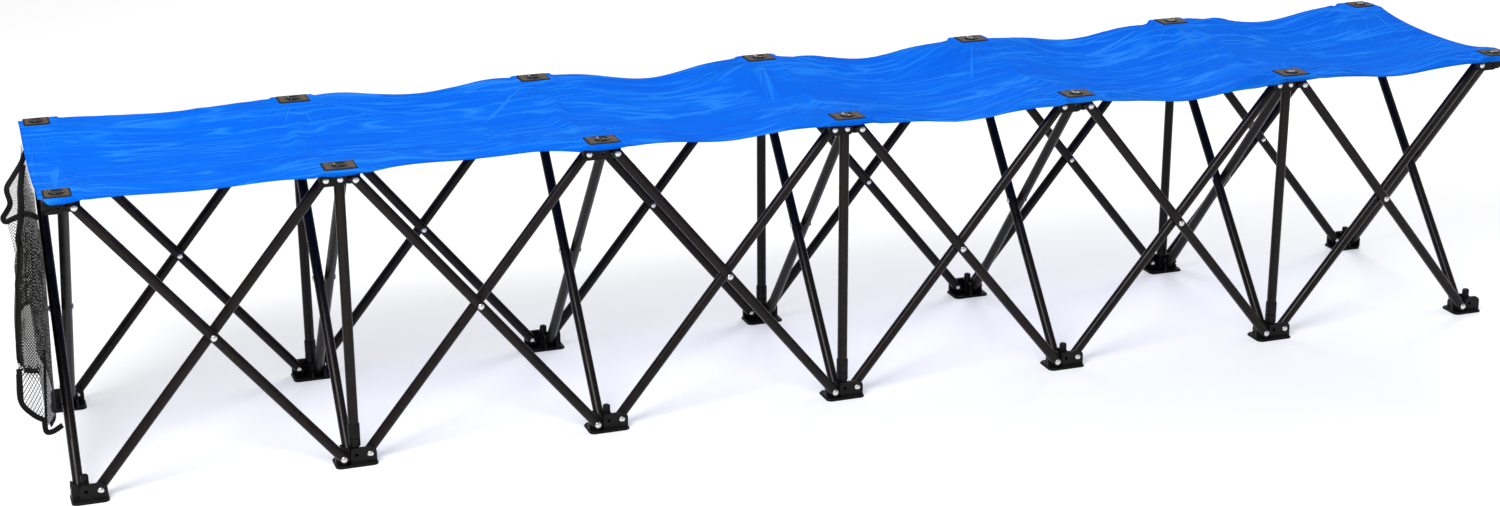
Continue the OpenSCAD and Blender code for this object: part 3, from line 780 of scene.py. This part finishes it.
def tape(name, path, across=None, width=0.008, samples=60):
    """Binding tape: a flat profile with round edges, carried along a smooth curve through the path's
    points. The profile lies along the given direction, squared up to the curve, or else it stands
    broadside to the front."""
    sides, thick = 12, 0.0011
    path = np.array(path, float)
    path = np.concatenate([2 * path[:1] - path[1:2], path, 2 * path[-1:] - path[-2:-1]])
    part = np.linspace(0, len(path) - 3 - 1e-9, samples)
    k, t = part.astype(int), (part % 1)[:, None]
    p0, p1, p2, p3 = path[k], path[k + 1], path[k + 2], path[k + 3]
    line = 0.5 * (2 * p1 + (p2 - p0) * t + (2 * p0 - 5 * p1 + 4 * p2 - p3) * t ** 2
                  + (3 * p1 - p0 - 3 * p2 + p3) * t ** 3)
    ahead = np.gradient(line, axis=0)
    ahead /= np.linalg.norm(ahead, axis=1)[:, None]
    if across is None:
        broad = np.cross(ahead, (0, 1, -0.35))
        flips = np.sign((broad[1:] * broad[:-1]).sum(1))
        broad[1:] *= np.cumprod(np.where(flips < 0, -1, 1))[:, None]
    else:
        broad = across - (ahead * across).sum(1)[:, None] * ahead
    broad /= np.linalg.norm(broad, axis=1)[:, None]
    up = np.cross(ahead, broad)
    angle = np.arange(sides) * 2 * np.pi / sides
    u, v = np.sign(np.cos(angle)) * np.abs(np.cos(angle)) ** 0.5, np.sin(angle)
    rim = broad[:, None] * (u * width / 2)[:, None] + up[:, None] * (v * thick / 2)[:, None]
    points = line[:, None] + rim
    faces = [face[::-1] for face in grid_faces(samples, sides, closed=True)]
    faces += [list(range(sides))[::-1], list(range((samples - 1) * sides, samples * sides))]
    return piece_of(name, points, faces, tape_weave, "hubs_0")


seat_end = cloth[0]


def sleeve(around, down):
    """The hanging sleeve: at each height a closed, rounded rectangle between an inner side next to the
    frame and an outer side that stands away lower down and leans in towards the back. Folds run down
    it. Its top follows the end of the seat, and its inner side hangs lower than its outer side."""
    angle = around * 2 * np.pi
    c, s = np.cos(angle), np.sin(angle)
    round_x, round_y = np.sign(c) * np.abs(c) ** 0.6, np.sign(s) * np.abs(s) ** 0.6
    fold = 0.0022 * eased(down, 0.05, 0.6) * (np.sin(9 * angle + 2.5 * down) + 0.6 * np.sin(23 * angle + 1))
    depth = (bag_back - bag_front) / 2
    y = (bag_back + bag_front) / 2 + (depth - 0.004 * down) * round_y + 0.0015 * np.sin(17 * angle) * down
    inner = -0.0006 + 0.0060 * eased(down, 0, 0.3) - 0.0035 * eased(down, 0.4, 1)
    outer = -0.0038 - 0.0275 * eased(down, 0, 0.26) - 0.0195 * eased(down, 0.25, 1)
    outer = outer + 0.06 * (y - bag_front) * eased(down, 0, 0.3) - 0.003 * bell(down, 0.53, 0.06)
    middle, half = (inner + outer) / 2, (inner - outer) / 2
    x = bag_x + middle + half * round_x + np.where(c < 0, 0.8 * fold, 0.12 * fold)
    top = np.interp(y, seat_end[:, 1], seat_end[:, 2]) - bag_top_sink
    bottom = bag_hem_z + (bag_inner_z - bag_hem_z) * eased(round_x, 0.1, 0.35) - 0.003 * np.sin(3 * angle)
    return np.stack([x, y, top + (bottom - top) * down], -1)


def from_station(*places):
    """Points given in millimetres from the foot of the first station."""
    return np.array(places, float) / 1000 + (station_x[0], 0, 0)


def on_path(path, part):
    """Points at these parts, 0 to 1, of the length of a path."""
    steps = np.linalg.norm(np.diff(path, axis=0), axis=1)
    at = np.concatenate([[0], np.cumsum(steps)]) / steps.sum()
    return np.stack([np.interp(part, at, path[:, k]) for k in range(3)], -1)


def between(top, bottom, belly):
    """A surface between two edges, bellied out by a half sine."""
    def surface(around, down):
        upper, lower = on_path(top, around), on_path(bottom, around)
        return upper + (lower - upper) * down[..., None] + np.sin(np.pi * down)[..., None] * belly
    return surface


def under_seat(path, count):
    """The path with its first points sunk, where they stand higher, to 6 mm below the seat's end."""
    highest = np.interp(path[:count, 1], seat_end[:, 1], seat_end[:, 2]) - 0.006
    path[:count, 2] = np.minimum(path[:count, 2], highest)
    return path


# The mouth stands away from the seat, and below the hem the lower part is one turned-up layer.
mouth = under_seat(from_station(
    (-20, 120, 468), (-27, 90, 459), (-35, 50, 454), (-50, 0, 447), (-62, -50, 444), (-60, -80, 431),
    (-67, -100, 424), (-73, -120, 422), (-70, -132, 419)), 5)
mouth_low = from_station((-67, -150, 405), (-60, -168, 385))
seam = under_seat(from_station((-22, 116, 464), (-32, 50, 450), (-42, -50, 445), (-48, -150, 435),
                               (-57, -169, 403), (-61, -170, 378)), 4)
tier_top = from_station((-42, -152, 205), (-60, -153, 205), (-74, -149, 208), (-70, -60, 208),
                        (-63, 40, 208), (-50, 54, 208))
tier_bottom = from_station((-44, -150, 114), (-61, -151, 127), (-76, -148, 149), (-73, -60, 158),
                           (-67, 40, 166), (-52, 52, 170))
left_front = 0.625
sleeve_size = (0.66, 0.315)
flap_size = (0.33, 0.017)
flap_rows = 4
tier_size = (0.25, 0.056)
sleeve_net = net("bag_sleeve", sleeve, *sleeve_size, (0.66, 0.42), wrap=True)
flap = between(np.concatenate([mouth, mouth_low]), seam, (-0.003, 0, -0.003))
flap_net = net("bag_flap", flap, flap_size[0], flap_rows * net_high, (0.78, 0.78))
tier_net = net("bag_lower", between(tier_top, tier_bottom, (-0.001, 0, 0)), *tier_size, (0.6, 0.78))
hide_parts("mesh_bag")
side = sleeve(np.full(6, left_front), np.array([0.32, 0.45, 0.53, 0.62, 0.8, 1.0]))
sleeve_tapes = [
    tape("bag_side_tape", np.concatenate([seam[1:-1], side])),
    tape("bag_hem_tape", sleeve(np.linspace(0.752, 0.25, 25), np.ones(25)), (0, 0, 1), samples=120),
    tape("bag_inner_hem", sleeve(np.linspace(0.8, 1.2, 21), np.ones(21)), (0, 0, 1), samples=100)]
mouth_end = from_station((-57, -140, 426), (-40, -160, 436), (-26, -168, 430))
mouth_tapes = [tape("bag_mouth_tape", np.concatenate([mouth, mouth_end]))]
tier_tapes = [
    tape("bag_lower_hem", tier_bottom[:4][::-1]),
    tape("bag_divider", from_station((-37, -171, 232), (-41, -168, 170), (-44.5, -160, 114)), width=0.004),
    tape("bag_lower_side", from_station((-74, -150, 200), (-75, -150, 175), (-76, -149, 149))),
    tape("bag_corner", from_station((-46, -150, 118), (-45, -150, 98), (-36, -150, 96), (-21, -150, 104)))]

# Studio. A plain white sweep with soft daylight boxes over the left front and the right back, and
# the camera where the photograph was taken from.
# The camera's turn is an axis whose length is the angle in radians, away from a view along Y.
camera_place = (station_x[3] - 1.3627, -3.5848, 1.4608)
camera_turn = np.array([0.3175, -0.0585, 0.3388])
picture_wide = 1500
focal_px = 2400.82
sensor = 36.0

angle = np.linalg.norm(camera_turn)
rotation = np.array(Matrix.Rotation(angle, 3, (camera_turn / angle).tolist()))
right, down, ahead = np.array([[1, 0, 0], [0, 0, -1], [0, 1, 0]]) @ rotation
camera = bpy.data.objects.new("camera", bpy.data.cameras.new("camera"))
bpy.context.scene.collection.objects.link(camera)
pose = np.eye(4)
pose[:3, :3] = np.stack([right, -down, -ahead], 1)
pose[:3, 3] = camera_place
camera.matrix_world = Matrix(pose.tolist())
camera.data.sensor_width = sensor
camera.data.lens = sensor * focal_px / picture_wide
camera.data.clip_end = 100
bpy.context.scene.camera = camera

sweep, tree, shader = material("white_sweep", Base_Color=(0.8, 0.8, 0.8, 1), Roughness=0.9)
seen = add(tree, "LightPath")
looked_at = math_node(tree, "MAXIMUM", seen.outputs["Is Camera Ray"], seen.outputs["Is Glossy Ray"])
tree.links.new(math_node(tree, "MULTIPLY", looked_at, 0.4), shader.inputs["Emission Strength"])
shader.inputs["Emission Color"].default_value = (1, 1, 1, 1)
floor = piece_of("sweep", [(-40, -40, 0), (40, -40, 0), (40, 40, 0), (-40, 40, 0)], [[0, 1, 2, 3]], sweep,
                 smooth=False)

world = bpy.data.worlds.new("studio")
world.use_nodes = True
world.node_tree.nodes["Background"].inputs[0].default_value = (1, 1, 1, 1)
world.node_tree.nodes["Background"].inputs[1].default_value = 0.42
bpy.context.scene.world = world


def softbox(name, place, aim, wide, high, watts):
    """A rectangular lamp at a place, turned to shine at a point."""
    lamp = bpy.data.lights.new(name, "AREA")
    lamp.shape = "RECTANGLE"
    lamp.size = wide
    lamp.size_y = high
    lamp.energy = watts
    made = bpy.data.objects.new(name, lamp)
    bpy.context.scene.collection.objects.link(made)
    to = np.array(aim, float) - np.array(place, float)
    to /= np.linalg.norm(to)
    side = np.cross(to, [0, 0, 1.0])
    side /= np.linalg.norm(side)
    turn = np.eye(4)
    turn[:3, :3] = np.stack([side, np.cross(side, to), -to], 1)
    turn[:3, 3] = place
    made.matrix_world = Matrix(turn.tolist())


softbox("key_box", (-2.6, -2.4, 3.4), (0, 0, 0.3), 2.2, 1.4, 150)
softbox("back_box", (2.4, 2.6, 3.0), (0.2, 0, 0.3), 2.4, 1.2, 65)
bpy.context.scene.view_settings.view_transform = "Standard"
